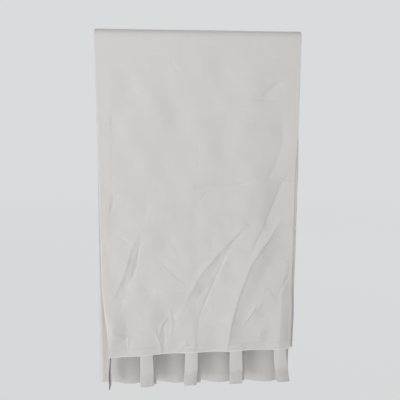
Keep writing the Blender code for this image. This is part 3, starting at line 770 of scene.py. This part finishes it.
def panel_rows():
    """Grid lines along the cloth, close over the header and round the crown."""
    hem_top = PANEL_LENGTH - BOTTOM_HEM_WIDTH
    marks = [*EDGE_LINES, HEADER_ROLL_HEIGHT, LOWER_FRONT, *stitch_marks(HEADER_STITCH)]
    marks += [FRONT_TOP_LINE, REAR_TOP_LINE]
    marks += [PANEL_LENGTH - mark for mark in EDGE_LINES]
    marks += [PANEL_LENGTH - mark for mark in stitch_marks(FOOT_STITCH)]
    marks += [hem_top - HEM_EDGE_STEP, hem_top]

    def step_at(place):
        if place < LOWER_FRONT:
            return LOWER_STEP
        if place < FRONT_TOP_LINE:
            return UPPER_STEP
        return ROD_STEP if place < REAR_TOP_LINE else REAR_STEP

    return lines_of(marks, step_at)


def dimple(distance):
    """Depth of the groove that a row of stitches pulls into the cloth."""
    return STITCH_DIMPLE * np.exp(-((distance / STITCH_DIMPLE_WIDTH) ** 2))


def mesh_with_map(name, points, faces, places):
    """A smooth mesh of those points and faces, with each point's place in metres as its UV map."""
    mesh = bpy.data.meshes.new(name)
    mesh.from_pydata(points.tolist(), [], faces)
    mesh.update()
    order = np.empty(len(mesh.loops), np.int32)
    mesh.loops.foreach_get("vertex_index", order)
    layer = mesh.uv_layers.new(name="UVMap")
    layer.data.foreach_set("uv", places[order].ravel())
    mesh.shade_smooth()
    return mesh


def sheet_mesh(name, face, back, across, along):
    """A closed mesh of two grids of points and the rim between them.

    Each grid is rows by columns. The first grid is the cloth's right side.
    """
    rows, columns = face.shape[:2]
    index = np.arange(rows * columns).reshape(rows, columns)
    corner, beside = index[:-1, :-1], index[:-1, 1:]
    above, far = index[1:, :-1], index[1:, 1:]
    right_side = np.stack([corner, above, far, beside], axis=-1).reshape(-1, 4)
    wrong_side = np.stack([corner, beside, far, above], axis=-1).reshape(-1, 4) + rows * columns
    border = np.concatenate([index[0, :-1], index[:-1, -1], index[-1, :0:-1], index[:0:-1, 0]])
    onward = np.roll(border, -1)
    rim = np.stack([border, onward, onward + rows * columns, border + rows * columns], axis=-1)
    faces = np.concatenate([right_side, wrong_side, rim])
    points = np.concatenate([face.reshape(-1, 3), back.reshape(-1, 3)])
    flat = np.stack(np.broadcast_arrays(across, along), axis=-1).reshape(-1, 2)
    return mesh_with_map(name, points, faces.tolist(), np.concatenate([flat, flat]))


def split_lines(lines):
    """The same grid lines with every cell split evenly."""
    shares = np.arange(CELL_SPLIT) / CELL_SPLIT
    return np.append((lines[:-1, None] + np.diff(lines)[:, None] * shares).ravel(), lines[-1])


def cells_near_creases(columns, rows):
    """Marks the cells of the outer layer's front whose middle is near a named crease's line."""
    across = (columns[None, 1:] + columns[None, :-1]) / 2.0
    along = (rows[1:, None] + rows[:-1, None]) / 2.0
    middle = drape(across, along)
    near = np.zeros(middle.shape[:2], bool)
    for softness, points in CREASES.values():
        line = np.array(points, float)[:, :2] * MILLIMETRE
        distance, _, _ = along_line(middle[..., 0], middle[..., 2], line.tolist())
        near |= distance < NEAR_CREASE * (1.0 if softness < SOFT_CREASE else SOFT_CREASE_SHARE)
    on_front = (across < FOLD_LINE - PLAIN_BESIDE_FOLD) & (along < FRONT_TOP_LINE)
    return near & on_front


def split_cells(split):
    """Marks the small cells of the split grid, and the points that they touch."""
    small = np.repeat(np.repeat(split, CELL_SPLIT, axis=0), CELL_SPLIT, axis=1)
    rows, columns = small.shape
    touched = np.zeros((rows + 1, columns + 1), bool)
    for down in (0, 1):
        for over in (0, 1):
            touched[down:rows + down, over:columns + over] |= small
    return small, touched


def graded_mesh(name, face, back, flat, flat_back, split):
    """A closed mesh: the right side has split cells where marked, and the wrong side has none.

    The right side's points are on the split grid and the wrong side's on the plain one. A plain
    cell beside a split one takes the split cell's points into its outline, so no seam is open.
    """
    rows, columns = back.shape[:2]
    small, used = split_cells(split)
    used[::CELL_SPLIT, ::CELL_SPLIT] = True
    index = np.full(used.shape, -1)
    index[used] = np.arange(used.sum())
    corners = (index[:-1, :-1], index[1:, :-1], index[1:, 1:], index[:-1, 1:])
    faces = np.stack([corner[small] for corner in corners], axis=-1).tolist()

    def outline(row, column):
        """The used points round a plain cell, from its first corner, down one side and back."""
        top, left = row * CELL_SPLIT, column * CELL_SPLIT
        foot, right = top + CELL_SPLIT, left + CELL_SPLIT
        ring = [*index[top:foot, left], *index[foot, left:right]]
        ring += [*index[foot:top:-1, right], *index[top, right:left:-1]]
        return [int(point) for point in ring if point >= 0]

    faces += [outline(row, column) for row, column in np.argwhere(~split)]
    other = np.arange(rows * columns).reshape(rows, columns) + int(used.sum())
    plain = (other[:-1, :-1], other[:-1, 1:], other[1:, 1:], other[1:, :-1])
    faces += np.stack([corner.ravel() for corner in plain], axis=-1).tolist()
    sides = [
        ([(0, column) for column in range(columns)], index[0]),
        ([(row, columns - 1) for row in range(rows)], index[:, -1]),
        ([(rows - 1, column) for column in range(columns - 1, -1, -1)], index[-1, ::-1]),
        ([(row, 0) for row in range(rows - 1, -1, -1)], index[::-1, 0]),
    ]
    for places, edge in sides:
        for number, (start, stop) in enumerate(zip(places[:-1], places[1:])):
            piece = edge[number * CELL_SPLIT:(number + 1) * CELL_SPLIT + 1]
            ring = [int(point) for point in piece if point >= 0]
            faces.append([*ring, int(other[stop]), int(other[start])])
    points = np.concatenate([face[used], back.reshape(-1, 3)])
    flats = np.concatenate([flat[used], flat_back.reshape(-1, 2)])
    return mesh_with_map(name, points, faces, flats)


def place_piece(mesh, material, slot, *nodes):
    """An object of that mesh which rides on the root, replaces CAD nodes and takes a finish."""
    piece = bpy.data.objects.new(mesh.name, mesh)
    bpy.context.scene.collection.objects.link(piece)
    mesh.materials.append(material)
    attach(piece, "root")
    if nodes:
        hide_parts(*nodes)
    return piece


def ply_offsets(across, along):
    """How far the right side and the wrong side lie from the cloth's middle surface.

    Half a ply each, three plies on the wrong side at the hems, less at the raw edges, and less
    along the stitches, beside which the cloth puckers by a product of two sine waves.
    """
    from_side = np.minimum(across, CURTAIN_WIDTH - across)
    from_foot = PANEL_LENGTH - along
    hem = np.maximum(
        smoothstep((SIDE_HEM_WIDTH + HEM_EDGE_STEP - from_side) / HEM_EDGE_STEP),
        smoothstep((BOTTOM_HEM_WIDTH + HEM_EDGE_STEP - from_foot) / HEM_EDGE_STEP),
    )
    edge = np.minimum(np.minimum(from_side, from_foot), along)
    rounding = RAW_EDGE_SHARE + (1.0 - RAW_EDGE_SHARE) * smoothstep(edge / EDGE_LINES[-1])
    sunk = dimple(from_side - SIDE_STITCH) + dimple(from_foot - FOOT_STITCH) + dimple(along - HEADER_STITCH)
    short, long, width = SIDE_PUCKER
    down_side = np.sin(along / short) * np.sin(along / long + 0.6)
    pucker = down_side * np.exp(-(((from_side - SIDE_STITCH) / width) ** 2))
    short, long, width = HEADER_PUCKER
    over_header = np.sin(across / short) * np.sin(across / long)
    pucker = pucker + over_header * np.exp(-(((along - HEADER_STITCH) / width) ** 2))
    outward = CLOTH_THICKNESS / 2 * rounding - sunk + EDGE_PUCKER * pucker
    inward = CLOTH_THICKNESS / 2 * rounding + (HEM_THICKNESS - CLOTH_THICKNESS) * hem * rounding
    return outward, inward - EDGE_PUCKER * pucker


def between_lines(values):
    """Values on the plain grid taken evenly over to the split grid, along rows and columns."""
    share = (np.arange(CELL_SPLIT) / CELL_SPLIT)[None, :, None, None]
    down = values[:-1, None] * (1.0 - share) + values[1:, None] * share
    down = np.concatenate([down.reshape(-1, *values.shape[1:]), values[-1:]])
    share = share.reshape(1, 1, CELL_SPLIT, 1)
    over = down[:, :-1, None] * (1.0 - share) + down[:, 1:, None] * share
    return np.concatenate([over.reshape(down.shape[0], -1, values.shape[2]), down[:, -1:]], axis=1)


def make_panel(material):
    """The cloth: right side and wrong side of the drape, a ply thick, and three at the hems.

    The right side's points lie evenly between the plain grid's, and on the drape itself where
    the cells are split.
    """
    columns, rows = panel_columns(), panel_rows()
    across, along = np.broadcast_arrays(columns[None, :], rows[:, None])
    points = drape(across, along)
    square = square_to(points)
    outward, inward = ply_offsets(across, along)
    split = cells_near_creases(columns, rows)
    fine_columns, fine_rows = split_lines(columns)[None, :], split_lines(rows)[:, None]
    fine_across, fine_along = np.broadcast_arrays(fine_columns, fine_rows)
    _, touched = split_cells(split)
    face = between_lines(points)
    face[touched] = drape(fine_across[touched][None, :], fine_along[touched][None, :])[0]
    fine_outward, _ = ply_offsets(fine_across, fine_along)
    face = face - between_lines(square) * fine_outward[..., None]
    back = points + square * inward[..., None]
    flat = np.stack([fine_across, fine_along], axis=-1)
    flat_back = np.stack([across, along], axis=-1)
    mesh = graded_mesh("curtain_cloth_panel", face, back, flat, flat_back, split)
    return place_piece(mesh, material, "curtain_cloth", "curtain_panel")


def make_facing(material):
    """The strip behind the header, which rises over the sewn-in ends of the loops."""
    starts = [FIRST_TAB + number * TAB_PITCH for number in range(TAB_COUNT)]
    edges = [edge for start in starts for edge in (start, start + TAB_WIDTH)]
    first, last = FACING_INSET, CURTAIN_WIDTH - FACING_INSET
    marks = [first, first + FACING_EDGE, last - FACING_EDGE, last]
    marks += [FOLD_LINE - FOLD_SPAN, FOLD_LINE + FOLD_SPAN]
    sides = [edge + shift for edge in edges for shift in (-OVER_LOOP_RUN, OVER_LOOP_RUN)]
    marks += [place for place in sides if first < place < last]

    def step_at(place):
        return FOLD_STEP if abs(place - FOLD_LINE) < FOLD_SPAN else FACING_STEP

    columns = lines_of(marks, step_at)
    rows = np.array(FACING_ROWS) * (FACING_HEIGHT - FACING_INSET) + FACING_INSET
    across, along = columns[None, :], rows[:, None]
    from_loop = np.abs((across - FIRST_TAB + TAB_PITCH / 2 - TAB_WIDTH / 2) % TAB_PITCH - TAB_PITCH / 2)
    on_loop = smoothstep((TAB_WIDTH / 2 + OVER_LOOP_RUN - from_loop) / (2.0 * OVER_LOOP_RUN))
    offset = FACING_ON_PANEL + (FACING_OVER_TABS - FACING_ON_PANEL) * on_loop + 0.0 * along
    points = behind(across, along, offset)
    square = square_to(points)
    half = CLOTH_THICKNESS / 2
    mesh = sheet_mesh("header_facing_strip", points - square * half, points + square * half, across, along)
    return place_piece(mesh, material, "facing_cloth", "header_facing")


def loop_profile(loop_depth, belly):
    """Depth behind the panel and drop below the header along a loop, down one leg and up again.

    Both legs spread by a smooth step from the seam to the loop's depth, and meet in a half
    circle. A sine squared down the legs makes them belly to the front.
    """
    radius = loop_depth / 2
    seam = (NEAR_LEG_OFFSET + FAR_LEG_OFFSET) / 2
    half_seam = (FAR_LEG_OFFSET - NEAR_LEG_OFFSET) / 2
    leg = np.linspace(0.0, TAB_DROP - radius, 27)
    spread = smoothstep(leg / TAB_SPREAD_LENGTH)
    half = half_seam + (radius - half_seam) * spread
    middle = seam - TAB_LEAN * spread - belly * np.sin(math.pi * leg / LOOP_BELLY_LENGTH) ** 2
    turn = np.linspace(0.0, math.pi, 14)[1:-1]
    bottom = seam - TAB_LEAN - radius * np.cos(turn)
    drop_bottom = TAB_DROP - radius + radius * np.sin(turn)
    sewn = np.linspace(-TAB_SEWN_IN, 0.0, 5)[:-1]
    near_sewn, far_sewn = np.full(sewn.shape, NEAR_LEG_OFFSET), np.full(sewn.shape, FAR_LEG_OFFSET)
    depth = np.concatenate([near_sewn, middle - half, bottom, (middle + half)[::-1], far_sewn])
    drop = np.concatenate([sewn, leg, drop_bottom, leg[::-1], sewn[::-1]])
    return depth, drop


def make_tab(number, material):
    """One loop of doubled cloth, with soft creases of its own and slightly thicker edges.

    It sways aside by the square of the way down. Its lower part turns a little by a smooth step,
    rising where it turns forward. The loop at the fold is drawn flat sideways.
    """
    chance = np.random.default_rng(CHANCE_SEED + number)
    first = FIRST_TAB + number * TAB_PITCH
    shares = np.array(LOOP_COLUMNS) * (1.0 - 2.0 * LOOP_INSET) + LOOP_INSET
    columns = (first + TAB_WIDTH * shares)[None, :]
    at_fold = number == TAB_COUNT // 2
    depth, drop = loop_profile(*((FOLD_LOOP_DEPTH, 0.0) if at_fold else (TAB_LOOP_DEPTH, LOOP_BELLY)))
    sewn_in = np.maximum(-drop, 0.0)[:, None]
    hang = np.maximum(drop, 0.0)[:, None]
    base = behind(columns, sewn_in, depth[:, None])
    share = hang / TAB_DROP
    base[..., 2] -= hang * LOOP_DROPS[number]
    base[..., 0] += TAB_SWAYS[number] * share**2
    twist = LOOP_TWISTS[number] * smoothstep((share - LOOP_TWIST_START) / LOOP_TWIST_RUN)
    turned = (columns - first - TAB_WIDTH / 2) * np.sin(twist)
    turned = turned * (-1.0 if number < TAB_COUNT // 2 else 1.0)
    base[..., 1] += turned
    base[..., 2] -= LOOP_LEVEL * turned
    if at_fold:
        off_middle = base[..., 0] - base[..., 0].mean(axis=1, keepdims=True)
        base[..., 0] -= off_middle * FOLD_LOOP_FLATNESS * smoothstep(share / FOLD_LOOP_FLAT_RUN)
    run = np.concatenate([[0.0], np.cumsum(np.hypot(np.diff(depth), np.diff(drop)))])
    square = square_to(base)
    across_tab = (columns - first) + 0.0 * hang
    along_tab = run[:, None] + 0.0 * across_tab
    box = ((0.0, 20.0), (TAB_WIDTH / MILLIMETRE, run[-1] / MILLIMETRE - 20.0))
    crumples = chance_creases(chance, LOOP_CRUMPLES, box, (0.3, 0.9), (18, 55), (5, 13))
    relief = sum(crease(across_tab, along_tab, *one) for one in crumples)
    bow = LOOP_BOW * np.sin(along_tab / LOOP_BOW_LENGTH + number) * (across_tab / TAB_WIDTH - 0.5)
    calm = smoothstep(share / LOOP_CALM_RUN)
    shifted = base - square * ((relief + bow) * calm)[..., None]
    square = square_to(shifted)
    edge = np.minimum(across_tab, TAB_WIDTH - across_tab)
    ridge = np.exp(-((edge - LOOP_RIDGE_PLACE) / LOOP_RIDGE_WIDTH) ** 2) * calm
    half = TAB_THICKNESS / 2 * (0.45 + 0.55 * smoothstep(edge / LOOP_EDGE_ROUND)) * (1.0 + 0.25 * ridge)
    face = shifted - square * half[..., None]
    back = shifted + square * half[..., None]
    name = f"tab_loop_cloth_{number + 1}"
    mesh = sheet_mesh(name, face, back, across_tab + 0.2 * number, along_tab)
    return place_piece(mesh, material, "loop_cloth", f"tab_loop_{number + 1}")


def stitch_rows():
    """Places of every stitch: (across, along) of its middle and its direction on the cloth."""
    down = np.arange(STITCH_MARGIN, PANEL_LENGTH - STITCH_MARGIN, STITCH_PITCH)
    over = np.arange(STITCH_MARGIN, CURTAIN_WIDTH - STITCH_MARGIN, STITCH_PITCH)
    sides = (SIDE_STITCH, CURTAIN_WIDTH - SIDE_STITCH)
    lines = (HEADER_STITCH, HEADER_EDGE_STITCH, PANEL_LENGTH - FOOT_STITCH)
    rows = [(np.full(down.shape, side), down, (0.0, 1.0)) for side in sides]
    return rows + [(over, np.full(over.shape, line), (1.0, 0.0)) for line in lines]


def make_stitching(material):
    """Every stitch of the hems and the header, a short thread that dips in at both ends.

    A stitch is a tube along half a sine arch, of rings that narrow towards its ends.
    """
    rings, sides = len(STITCH_GIRTHS), THREAD_SIDES
    way = np.linspace(-0.5, 0.5, rings)
    lift = (np.cos(way * math.pi) * STITCH_LIFT)[:, None]
    girth = THREAD_RADIUS * np.array(STITCH_GIRTHS)
    turn = np.linspace(0.0, 2.0 * math.pi, sides, endpoint=False)
    points, faces, flats, first = [], [], [], 0
    ring = np.arange(sides)
    onward = (ring + 1) % sides
    tube = np.stack([ring, onward, sides + onward, sides + ring], axis=-1)
    tube = (tube + np.arange(rings - 1)[:, None, None] * sides).reshape(-1, 4)
    for across, along, (over, up) in stitch_rows():
        start = drape(across - over * STITCH_LENGTH / 2, along - up * STITCH_LENGTH / 2)
        stop = drape(across + over * STITCH_LENGTH / 2, along + up * STITCH_LENGTH / 2)
        out = -(behind(across, along, np.ones(across.shape)) - drape(across, along))
        lead = stop - start
        lead = lead / np.linalg.norm(lead, axis=-1, keepdims=True)
        beside = np.cross(lead, out)
        middle = drape(across, along) + out * (CLOTH_THICKNESS / 2 - STITCH_SINK)
        centre = middle[:, None] + lead[:, None] * (way * STITCH_LENGTH)[:, None] + out[:, None] * lift
        around = np.cos(turn)[:, None] * out[:, None, None] + np.sin(turn)[:, None] * beside[:, None, None]
        made = centre[:, :, None] + around * girth[None, :, None, None]
        count = len(across)
        base = first + np.arange(count)[:, None, None] * rings * sides
        faces.append((tube[None] + base).reshape(-1, 4))
        points.append(made.reshape(-1, 3))
        flats.append(np.repeat(np.stack([across, along], axis=-1), rings * sides, axis=0))
        first += count * rings * sides
    points, faces, flats = np.concatenate(points), np.concatenate(faces), np.concatenate(flats)
    starts = np.arange(0, first, rings * sides)[:, None]
    caps = np.concatenate([starts + ring[::-1], starts + (rings - 1) * sides + ring])
    mesh = mesh_with_map("hem_stitching", points, faces.tolist() + caps.tolist(), flats)
    return place_piece(mesh, material, "curtain_cloth")


class Nodes:
    """Adds and joins the nodes of one material."""

    def __init__(self, name):
        self.material = bpy.data.materials.new(name)
        self.material.use_nodes = True
        self.tree = self.material.node_tree
        self.shader = self.tree.nodes["Principled BSDF"]

    def add(self, kind, **settings):
        """A node with those settings; a socket takes a number, a colour or another output."""
        node = self.tree.nodes.new(kind)
        inputs = settings.pop("inputs", {})
        for key, value in settings.items():
            setattr(node, key, value)
        for key, value in inputs.items():
            self.join(value, node.inputs[key])
        return node

    def join(self, value, socket):
        """Sets a socket to a value, or links an output to it."""
        if isinstance(value, bpy.types.NodeSocket):
            self.tree.links.new(value, socket)
        else:
            socket.default_value = value

    def math(self, operation, *values):
        """The output of a Math node."""
        node = self.add("ShaderNodeMath", operation=operation)
        for value, socket in zip(values, node.inputs):
            self.join(value, socket)
        return node.outputs[0]


def woven_cloth(name, highlight_height=0.0):
    """Plain woven, matt cloth.

    The weave is the product of two sine waves, one along each thread direction of the UV map.
    Slubs are noise drawn out along the threads, and a broad noise shifts the shade a little. A
    painted highlight, when an edge height is given, makes the cloth paler up to that height above
    the header's lower edge, where the edge catches the light.
    """
    nodes = Nodes(name)
    uv = nodes.add("ShaderNodeTexCoord").outputs["UV"]
    split = nodes.add("ShaderNodeSeparateXYZ", inputs={0: uv})
    thread = math.pi * THREADS_PER_METRE
    warp = nodes.math("SINE", nodes.math("MULTIPLY", split.outputs[0], thread))
    weft = nodes.math("SINE", nodes.math("MULTIPLY", split.outputs[1], thread))
    weave = nodes.math("MULTIPLY", warp, weft)

    def noise(scale, over, up, detail=3.0, roughness=0.55):
        """Noise on the UV map, with its own scale each way."""
        place = nodes.add("ShaderNodeMapping", inputs={"Vector": uv, "Scale": (over, up, 1.0)})
        texture = nodes.add(
            "ShaderNodeTexNoise",
            inputs={"Vector": place.outputs[0], "Scale": scale, "Detail": detail, "Roughness": roughness},
        )
        return texture.outputs["Fac"]

    slub_down = noise(260.0, 1.0, 0.030)
    slub_over = noise(260.0, 0.030, 1.0)
    broad = noise(5.5, 1.0, 0.8, detail=4.0)
    wrinkle = noise(46.0, 1.0, 0.75, detail=5.0, roughness=0.62)
    slubs = nodes.math("ADD", slub_down, slub_over)
    dark = tuple(part * (1.0 - CLOTH_TONE) for part in CLOTH_COLOUR)
    pale = tuple(part * (1.0 + CLOTH_TONE) for part in CLOTH_COLOUR)
    # the palest colour is the painted highlight of the header's lower edge
    painted_highlight_colour = tuple(part * PAINTED_EDGE_HIGHLIGHT_PALENESS for part in CLOTH_COLOUR)
    shade = nodes.math("MULTIPLY_ADD", slubs, 0.85, nodes.math("MULTIPLY_ADD", broad, 0.60, -0.65))
    shade = nodes.math("MULTIPLY_ADD", weave, 0.10, shade)
    # Painted highlight: near the header's lower edge the shade is lifted towards the ramp's palest colour
    if highlight_height:
        reach = {"From Min": highlight_height * 0.6, "From Max": highlight_height, "To Min": 1.0, "To Max": 0.0}
        painted_highlight = nodes.add("ShaderNodeMapRange", inputs={"Value": split.outputs[1], **reach})
        shade = nodes.math("ADD", shade, painted_highlight.outputs[0])
    ramp = nodes.add("ShaderNodeValToRGB", inputs={"Fac": shade})
    ramp.color_ramp.elements[0].position, ramp.color_ramp.elements[0].color = 0.15, (*dark, 1.0)
    ramp.color_ramp.elements[1].position, ramp.color_ramp.elements[1].color = 0.85, (*pale, 1.0)
    ramp.color_ramp.elements.new(1.0).color = (*painted_highlight_colour, 1.0)
    nodes.join(ramp.outputs["Color"], nodes.shader.inputs["Base Color"])
    rough = nodes.add(
        "ShaderNodeMapRange",
        inputs={"Value": slubs, "From Min": 0.6, "From Max": 1.4, "To Min": 0.84, "To Max": 0.96},
    )
    nodes.join(rough.outputs[0], nodes.shader.inputs["Roughness"])
    nodes.shader.inputs["Sheen Weight"].default_value = CLOTH_SHEEN
    nodes.shader.inputs["Sheen Roughness"].default_value = 0.55
    nodes.shader.inputs["Specular IOR Level"].default_value = 0.25
    height = nodes.math("MULTIPLY_ADD", weave, 0.10, nodes.math("MULTIPLY", slubs, 0.22))
    fine = nodes.add("ShaderNodeBump", inputs={"Height": height, "Strength": 0.35, "Distance": 0.0004})
    crumpled = nodes.add(
        "ShaderNodeBump",
        inputs={"Height": wrinkle, "Strength": 0.30, "Distance": 0.0016, "Normal": fine.outputs[0]},
    )
    nodes.join(crumpled.outputs[0], nodes.shader.inputs["Normal"])
    return nodes.material


def thread_material():
    """Sewing thread: a spun twist, a little paler and smoother than the cloth."""
    nodes = Nodes("sewing_thread")
    uv = nodes.add("ShaderNodeTexCoord").outputs["UV"]
    twist = nodes.add("ShaderNodeTexNoise", inputs={"Vector": uv, "Scale": 700.0, "Detail": 2.0})
    ramp = nodes.add("ShaderNodeValToRGB", inputs={"Fac": twist.outputs["Fac"]})
    ramp.color_ramp.elements[0].color = (*(part * 0.93 for part in THREAD_COLOUR), 1.0)
    ramp.color_ramp.elements[1].color = (*(part * 1.05 for part in THREAD_COLOUR), 1.0)
    nodes.join(ramp.outputs["Color"], nodes.shader.inputs["Base Color"])
    nodes.shader.inputs["Roughness"].default_value = 0.62
    nodes.shader.inputs["Sheen Weight"].default_value = 0.15
    return nodes.material


# The camera: its place, its turn to the right, its tilt down and its roll
CAMERA_PLACE = Vector((-0.1175, -2.1103, -0.1472))
CAMERA_YAW = math.radians(3.483)
CAMERA_DOWN = math.radians(11.030)
CAMERA_ROLL = math.radians(-0.5957)
CAMERA_LENS = 54.0
CAMERA_SENSOR = 36.0


def make_camera():
    """The camera looks along +Y, turned right by the yaw, tilted down and rolled."""
    ahead = Vector((
        math.sin(CAMERA_YAW) * math.cos(CAMERA_DOWN),
        math.cos(CAMERA_YAW) * math.cos(CAMERA_DOWN),
        -math.sin(CAMERA_DOWN),
    ))
    level = Vector((math.cos(CAMERA_YAW), -math.sin(CAMERA_YAW), 0.0))
    below = ahead.cross(level)
    right = level * math.cos(CAMERA_ROLL) + below * math.sin(CAMERA_ROLL)
    down = below * math.cos(CAMERA_ROLL) - level * math.sin(CAMERA_ROLL)
    data = bpy.data.cameras.new("camera")
    data.lens, data.sensor_width = CAMERA_LENS, CAMERA_SENSOR
    data.clip_start, data.clip_end = 0.05, 100.0
    camera = bpy.data.objects.new("camera", data)
    turn = Matrix((right, -down, -ahead)).transposed()
    camera.matrix_world = Matrix.Translation(CAMERA_PLACE) @ turn.to_4x4()
    bpy.context.scene.collection.objects.link(camera)
    bpy.context.scene.camera = camera


BACKDROP_COLOUR = (0.700, 0.706, 0.712)
AMBIENT_COLOUR = (0.985, 0.992, 1.0)
AMBIENT_STRENGTH = 0.33
FLOOR_LEVEL = -2.10
FLOOR_SIZE = 60.0
FLOOR_COLOUR = (0.62, 0.62, 0.62)
FLOOR_ROUGHNESS = 0.9
FLOOR_NEAR = 2.0
FLOOR_FAR = 9.0
NEAR_FLOOR_SHARE = 0.88

# The soft lights: name, place, side of the square, watts and colour, all aimed at the front
LIGHTS_AIM = (0.0, 0.0, -0.60)
SOFTBOXES = (
    ("key_left", (-4.0, -3.0, -0.8), 3.6, 131.0, (1.0, 0.99, 0.98)),
    ("key_front_left", (-1.2, -4.4, -0.8), 3.6, 70.0, (1.0, 0.99, 0.98)),
    ("fill_above", (0.3, -2.4, 1.8), 1.6, 20.0, (1.0, 1.0, 1.0)),
    ("rear", (3.2, 5.2, 2.8), 3.0, 240.0, (1.0, 1.0, 1.0)),
)


def seen_directly(tree):
    """An output that is 1 for rays from the camera, mirrors and clear things, and 0 otherwise."""
    path = tree.nodes.new("ShaderNodeLightPath")
    total = path.outputs["Is Camera Ray"]
    for name in ("Is Glossy Ray", "Is Transmission Ray"):
        both = tree.nodes.new("ShaderNodeMath")
        both.operation = "MAXIMUM"
        tree.links.new(total, both.inputs[0])
        tree.links.new(path.outputs[name], both.inputs[1])
        total = both.outputs[0]
    return total


def mixed(tree, share, plain, seen):
    """The output of a Mix Shader, from the plain shader at share 0 to the seen one at 1."""
    mix = tree.nodes.new("ShaderNodeMixShader")
    for output, socket in zip((share, plain, seen), mix.inputs):
        tree.links.new(output, socket)
    return mix.outputs[0]


def make_world():
    """A pale backdrop where it is seen, and an even soft light elsewhere."""
    world = bpy.data.worlds.new("studio")
    world.use_nodes = True
    tree = world.node_tree
    light = tree.nodes["Background"]
    light.inputs["Color"].default_value = (*AMBIENT_COLOUR, 1.0)
    light.inputs["Strength"].default_value = AMBIENT_STRENGTH
    seen = tree.nodes.new("ShaderNodeBackground")
    seen.inputs["Color"].default_value = (*BACKDROP_COLOUR, 1.0)
    seen.inputs["Strength"].default_value = 1.0
    shown = mixed(tree, seen_directly(tree), light.outputs[0], seen.outputs[0])
    tree.links.new(shown, tree.nodes["World Output"].inputs["Surface"])
    bpy.context.scene.world = world


def make_floor():
    """A plain pale floor well below the curtain, which keeps its soft shadow.

    Seen directly it takes the backdrop's colour, wholly so far away.
    """
    half = FLOOR_SIZE / 2
    mesh = bpy.data.meshes.new("floor")
    corners = ((-half, -half), (half, -half), (half, half), (-half, half))
    mesh.from_pydata([(*corner, FLOOR_LEVEL) for corner in corners], [], [(0, 1, 2, 3)])
    material = bpy.data.materials.new("pale_floor")
    material.use_nodes = True
    tree = material.node_tree
    shader = tree.nodes["Principled BSDF"]
    shader.inputs["Base Color"].default_value = (*FLOOR_COLOUR, 1.0)
    shader.inputs["Roughness"].default_value = FLOOR_ROUGHNESS
    seen = tree.nodes.new("ShaderNodeEmission")
    seen.inputs["Color"].default_value = (*BACKDROP_COLOUR, 1.0)
    place = tree.nodes.new("ShaderNodeTexCoord")
    length = tree.nodes.new("ShaderNodeVectorMath")
    length.operation = "LENGTH"
    tree.links.new(place.outputs["Object"], length.inputs[0])
    fade = tree.nodes.new("ShaderNodeMapRange")
    settings = {"From Min": FLOOR_NEAR, "From Max": FLOOR_FAR, "To Min": NEAR_FLOOR_SHARE, "To Max": 1.0}
    for key, value in settings.items():
        fade.inputs[key].default_value = value
    tree.links.new(length.outputs["Value"], fade.inputs["Value"])
    share = tree.nodes.new("ShaderNodeMath")
    share.operation = "MULTIPLY"
    tree.links.new(seen_directly(tree), share.inputs[0])
    tree.links.new(fade.outputs[0], share.inputs[1])
    shown = mixed(tree, share.outputs[0], shader.outputs[0], seen.outputs[0])
    tree.links.new(shown, tree.nodes["Material Output"].inputs["Surface"])
    mesh.materials.append(material)
    floor = bpy.data.objects.new("floor", mesh)
    bpy.context.scene.collection.objects.link(floor)


def make_softbox(name, place, size, watts, colour):
    """A square soft light that looks from its place at the curtain's front, not seen itself."""
    data = bpy.data.lights.new(name, "AREA")
    data.shape, data.size = "SQUARE", size
    data.energy, data.color = watts, colour
    light = bpy.data.objects.new(name, data)
    light.location = place
    light.rotation_euler = (Vector(LIGHTS_AIM) - Vector(place)).to_track_quat("-Z", "Y").to_euler()
    light.visible_camera = False
    bpy.context.scene.collection.objects.link(light)


make_camera()
loop_cloth = woven_cloth("loop_cloth")
# The panel's cloth carries the painted highlight along the header's lower edge
panel = make_panel(woven_cloth("curtain_cloth", highlight_height=PAINTED_EDGE_HIGHLIGHT_HEIGHT))
facing = make_facing(woven_cloth("facing_cloth"))
loops = [make_tab(number, loop_cloth) for number in range(TAB_COUNT)]
stitching = make_stitching(thread_material())
make_world()
make_floor()
for softbox in SOFTBOXES:
    make_softbox(*softbox)
bpy.context.scene.view_settings.view_transform = "Standard"
